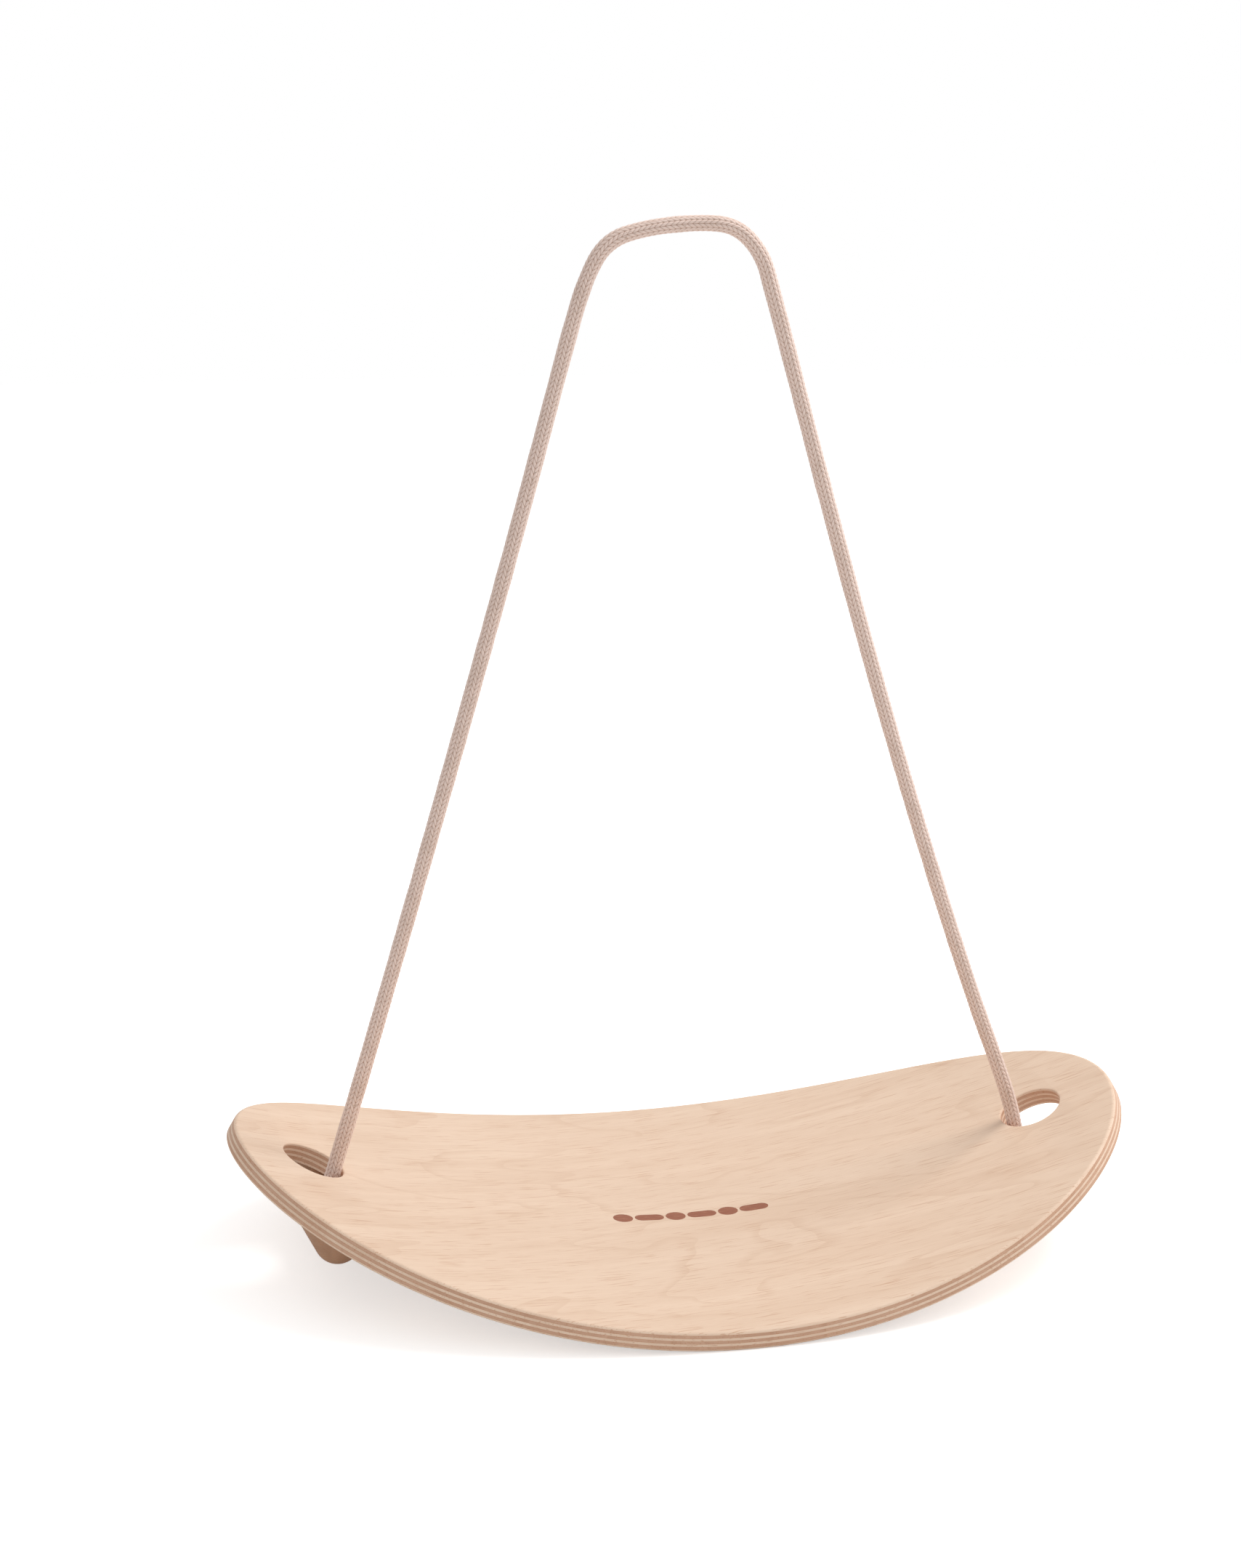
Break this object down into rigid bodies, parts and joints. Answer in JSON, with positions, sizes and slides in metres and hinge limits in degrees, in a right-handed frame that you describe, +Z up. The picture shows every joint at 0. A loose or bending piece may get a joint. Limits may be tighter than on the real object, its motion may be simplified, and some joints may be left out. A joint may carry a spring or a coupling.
{
  "type": "rocking seesaw board",
  "caption": "Child's bent plywood rocking board with an oval outline, hand holes, a pinned rope loop to hold and short turned feet as tilt stops.",
  "frame": {"origin": "on the floor under the middle of the board, at the lowest point of its curved underside", "axes": "+X along the board towards its right end, +Y to its rear edge, +Z up; the rope loop stands in the plane y = 0"},
  "size_m": [0.7182, 0.47, 0.7989],
  "materials": {
    "long_grain_veneer": "clear matt lacquer over sanded pale hardwood face veneer",
    "cross_grain_veneer": "clear matt lacquer over end grain of cross veneers",
    "turned_wood": "turned and sanded hardwood, matt lacquer",
    "steel": "zinc plated steel",
    "rope": "braided undyed cotton, soft and slightly fuzzy"
  },
  "bodies": {
    "board": {"veneer_1_top_face": "long_grain_veneer", "veneer_2_cross_upper": "cross_grain_veneer", "veneer_3_long_upper": "long_grain_veneer", "veneer_4_core": "cross_grain_veneer", "veneer_5_long_lower": "long_grain_veneer", "veneer_6_cross_lower": "cross_grain_veneer", "veneer_7_bottom_face": "long_grain_veneer", "foot_front_left": "turned_wood", "foot_front_right": "turned_wood", "foot_rear_left": "turned_wood", "foot_rear_right": "turned_wood", "foot_screws": "steel", "rope_toggle_left": "turned_wood", "rope_toggle_right": "turned_wood", "toggle_pin_left": "steel", "toggle_pin_right": "steel", "rope_tail_left": "rope", "rope_tail_right": "rope"},
    "rope": {"rope_loop": "rope"}
  },
  "joints": [
    {"name": "rope_swing", "type": "hinge", "parent": "board", "child": "rope", "pos_m": [0, 0, 0.074], "axis": [1, 0, 0], "range_deg": [-60, 60]}
  ]
}
